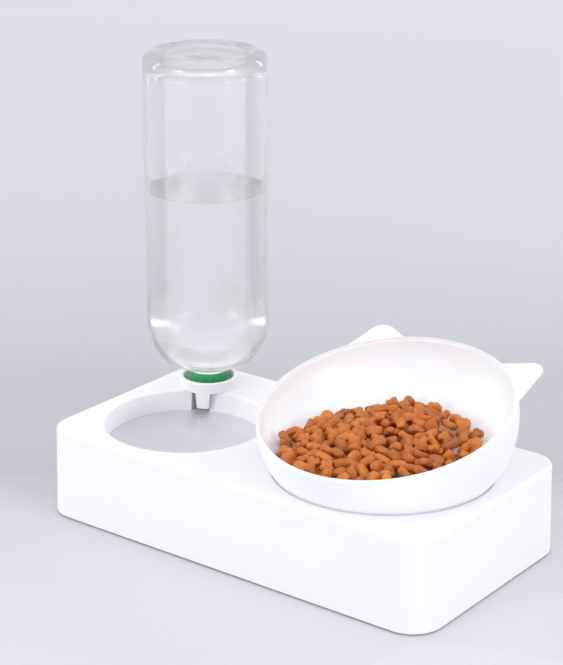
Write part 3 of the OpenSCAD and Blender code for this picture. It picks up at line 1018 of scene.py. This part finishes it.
class FEEDER_OT_bottle(bpy.types.Operator):
    """Clear bottle, upside down over the socket"""

    bl_idname = "feeder.bottle"
    bl_label = "Bottle"

    def execute(self, context):
        obj = lathe("bottle_glass", bottle_outline(), AXIS, 192)
        shade(obj, 40)
        clear = clear_bottle("bottle_clear", tints().bottle_tint)
        dress(obj, "bottle", clear, "bottle", "bottle")
        return {"FINISHED"}


class FEEDER_OT_bottle_water(bpy.types.Operator):
    """Water that stands in the bottle"""

    bl_idname = "feeder.bottle_water"
    bl_label = "Water in the bottle"

    def execute(self, context):
        s = sizes()[1]
        if not s.show_contents:
            return {"FINISHED"}
        gap = 0.04 * MM
        top = s.bottle_water_z
        edge = BOTTLE_R - BOTTLE_WALL - gap
        below = [(r - gap, z) for r, z in bottle_inside() if PLUG_TOP_Z < z < top - 2.5 * MM]
        outline = [(0.0, PLUG_TOP_Z), (NECK_BORE_R - gap, PLUG_TOP_Z)] + below

        # The water climbs the wall a little
        outline += [(edge, top + 0.8 * MM), (edge - 0.5 * MM, top + 0.42 * MM)]
        outline += [(edge - 1.2 * MM, top + 0.15 * MM), (edge - 2.6 * MM, top), (edge * 0.5, top)]
        outline.append((0.0, top))
        obj = lathe("bottle_water", outline, AXIS, 192)
        shade(obj, 50)
        shadow_tint = (0.985, 0.99, 0.99)
        clear = water(
            "water_in_bottle", tints().water_tint, 0.3 * MM, 30.0, shadow_tint, straight=0.3
        )
        dress(obj, "bottle", clear, None)
        return {"FINISHED"}


class FEEDER_OT_basin_water(bpy.types.Operator):
    """Water that stands in the basin"""

    bl_idname = "feeder.basin_water"
    bl_label = "Water in the basin"

    def execute(self, context):
        s = sizes()[1]
        if not s.show_contents:
            return {"FINISHED"}
        lap = 0.12 * MM
        wall_r = s.basin_r - s.basin_draft
        low = s.basin_floor_z
        level = s.basin_water_z
        round_r = s.basin_floor_r
        outline = [(0.0, low - lap)]
        outline += arc(wall_r - round_r, low + round_r, round_r + lap, -90, 0, 12)
        share = (level - low - round_r) / (s.top_z - low - round_r)
        edge = wall_r + share * s.basin_draft
        outline += [(edge + lap, level + 0.35 * MM), (edge - 0.3 * MM, level + 0.12 * MM)]
        outline += [(edge - 0.9 * MM, level), (edge * 0.6, level), (0.0, level)]
        obj = lathe("basin_water", outline, (s.basin_x, s.basin_y), 160)
        well_r = s.well_r + lap
        well = [(0.0, low - lap), (well_r, low - lap), (well_r, level), (0.0, level)]
        unite(obj, lathe("well_water", well, AXIS, 64))
        unite(obj, slot_strip(s, lap, low - lap, level))
        shade(obj, 50)
        shadow_tint = (0.92, 0.935, 0.955)
        # Half-opaque grey-blue water: painted shade and reflection over clear water
        shaded_water = water(
            "water_in_basin", tints().basin_painted_shade, 0.6 * MM, 32.0, shadow_tint, clearness=0.45
        )
        dress(obj, "base", shaded_water, None)
        return {"FINISHED"}


class FEEDER_OT_food_bowl(bpy.types.Operator):
    """White food bowl with two ears"""

    bl_idname = "feeder.food_bowl"
    bl_label = "Food bowl"

    def execute(self, context):
        s = sizes()[0]
        obj = ring_mesh("bowl_body", bowl_rings(s, 144))
        for side, name in ((1, "ear_right"), (-1, "ear_left")):
            unite(obj, ear_piece(s, side, name))
        shade(obj, 32)
        white = moulded_white("bowl_moulding", tints().bowl_white, 0.4, 0.006 * MM, 0.06)
        dress(obj, "bowl", white, "food_bowl", "food_bowl")
        return {"FINISHED"}


class FEEDER_OT_food(bpy.types.Operator):
    """Dry food in the bowl"""

    bl_idname = "feeder.food"
    bl_label = "Dry food"

    def execute(self, context):
        if sizes()[1].show_contents:
            make_food()
        return {"FINISHED"}


# ---------------------------------------------------------------- stage

# Direction of the camera
VIEW_HEADING = math.radians(37.32)
VIEW_LIFT = math.radians(19.57)
VIEW_ROLL = math.radians(0.09)

# Painted shade and light on the floor: place along the view, in metres from the origin, and grey
# level there; the dark band behind the base is painted shade
FLOOR_PAINTED_LIGHT = (
    (-0.16, 0.725), (-0.09, 0.712), (-0.02, 0.685), (0.02, 0.655), (0.075, 0.525), (0.15, 0.556),
    (0.22, 0.540), (0.30, 0.587), (0.535, 0.672), (0.95, 0.770), (1.56, 0.965),
)


class FEEDER_OT_stage(bpy.types.Operator):
    """Pale floor, soft studio light and the camera"""

    bl_idname = "feeder.stage"
    bl_label = "Stage"

    def execute(self, context):
        make_floor()
        make_lights()
        make_camera()
        context.scene.view_settings.view_transform = "Standard"
        return {"FINISHED"}


def make_floor():
    """Pale floor with painted shade and light: its tone changes slowly along the view."""
    f = Finish("floor_painted_light")
    x, y, _ = f.parts_of(f.where)
    along = y * math.cos(VIEW_HEADING) - x * math.sin(VIEW_HEADING)
    low, high = FLOOR_PAINTED_LIGHT[0][0], FLOOR_PAINTED_LIGHT[-1][0]
    share = ((along - low) / (high - low)).clamp()
    tint = tints().floor_tint
    # The grey levels along the view are painted shade and light, times the floor's tint
    stops = [((p - low) / (high - low), [g * t for t in tint]) for p, g in FLOOR_PAINTED_LIGHT]
    speck = f.noise(900.0, 2.0)
    paint = f.done(
        f.principled(Base_Color=f.ramp(share, stops), Roughness=0.6 + (speck - 0.5) * 0.1)
    )
    size = 9.0
    mesh = bpy.data.meshes.new("floor")
    corners = [(-size, -size, 0), (size, -size, 0), (size, size, 0), (-size, size, 0)]
    mesh.from_pydata(corners, [], [(0, 1, 2, 3)])
    floor = new_object("floor", mesh)
    floor.data.materials.append(paint)


def soft_light(name, place, target, width, height, power):
    """Flat white light that faces a target; power in watts."""
    light = bpy.data.lights.new(name, "AREA")
    light.shape = "RECTANGLE"
    light.size = width
    light.size_y = height
    light.energy = power
    obj = bpy.data.objects.new(name, light)
    bpy.context.scene.collection.objects.link(obj)
    obj.location = place
    obj.rotation_euler = (Vector(place) - Vector(target)).to_track_quat("Z", "Y").to_euler()


def make_lights():
    """Pale surroundings, large soft lights and two strips for the bottle's sides."""
    world = bpy.data.worlds.new("studio")
    world.use_nodes = True
    back = world.node_tree.nodes["Background"]
    back.inputs["Color"].default_value = (0.93, 0.94, 1.0, 1.0)
    back.inputs["Strength"].default_value = 0.73
    bpy.context.scene.world = world
    middle = (0.0, 0.0, 0.1)
    soft_light("overhead", (0.1, -0.1, 1.7), middle, 2.2, 2.2, 10.0)
    soft_light("front_fill", (-0.45, -1.85, 0.6), middle, 0.6, 0.5, 8.0)
    soft_light("right_fill", (1.9, -0.1, 0.65), middle, 0.6, 0.5, 10.0)
    soft_light("left_strip", (-1.15, -0.5, 0.5), middle, 0.14, 0.9, 3.0)
    soft_light("back_strip", (0.35, 1.35, 0.5), middle, 0.14, 0.9, 3.0)


def make_camera():
    """Camera at the picture's viewing angle."""
    data = bpy.data.cameras.new("camera")
    data.lens = 106.27
    data.sensor_width = 36.0
    data.clip_start = 0.02
    data.clip_end = 50.0
    obj = bpy.data.objects.new("camera", data)
    bpy.context.scene.collection.objects.link(obj)
    obj.location = (0.58277, -0.78015, 0.45769)
    level = Vector((-math.sin(VIEW_HEADING), math.cos(VIEW_HEADING), 0.0))
    ahead = level * math.cos(VIEW_LIFT) - Vector((0.0, 0.0, math.sin(VIEW_LIFT)))
    turn = ahead.to_track_quat("-Z", "Y")
    obj.rotation_mode = "QUATERNION"
    obj.rotation_quaternion = turn @ Euler((0.0, 0.0, VIEW_ROLL)).to_quaternion()
    bpy.context.scene.camera = obj


# ---------------------------------------------------------------- add-on

STEPS = (
    FEEDER_OT_base,
    FEEDER_OT_feet,
    FEEDER_OT_socket,
    FEEDER_OT_valve,
    FEEDER_OT_bottle,
    FEEDER_OT_bottle_water,
    FEEDER_OT_basin_water,
    FEEDER_OT_food_bowl,
    FEEDER_OT_food,
    FEEDER_OT_stage,
)
GROUPS = {
    "feeder_bowl": FeederBowlSizes,
    "feeder_water": FeederWaterSizes,
    "feeder_colours": FeederColours,
}


class FEEDER_PT_panel(bpy.types.Panel):
    """Steps and settings of the feeder"""

    bl_idname = "FEEDER_PT_panel"
    bl_label = "Pet feeding station"
    bl_space_type = "VIEW_3D"
    bl_region_type = "UI"
    bl_category = "Feeder"

    def draw(self, context):
        for step in STEPS:
            self.layout.operator(step.bl_idname)
        for name, group in GROUPS.items():
            box = self.layout.box()
            for key in group.__annotations__:
                box.prop(getattr(context.scene, name), key)


def register():
    for group in GROUPS.values():
        bpy.utils.register_class(group)
    for name, group in GROUPS.items():
        setattr(bpy.types.Scene, name, bpy.props.PointerProperty(type=group))
    for step in (*STEPS, FEEDER_PT_panel):
        bpy.utils.register_class(step)


def unregister():
    for step in reversed((*STEPS, FEEDER_PT_panel)):
        bpy.utils.unregister_class(step)
    for name, group in GROUPS.items():
        delattr(bpy.types.Scene, name)
        bpy.utils.unregister_class(group)


def main():
    """Builds everything in order."""
    register()
    for step in STEPS:
        family, name = step.bl_idname.split(".")
        getattr(getattr(bpy.ops, family), name)()


if __name__ == "__main__":
    main()
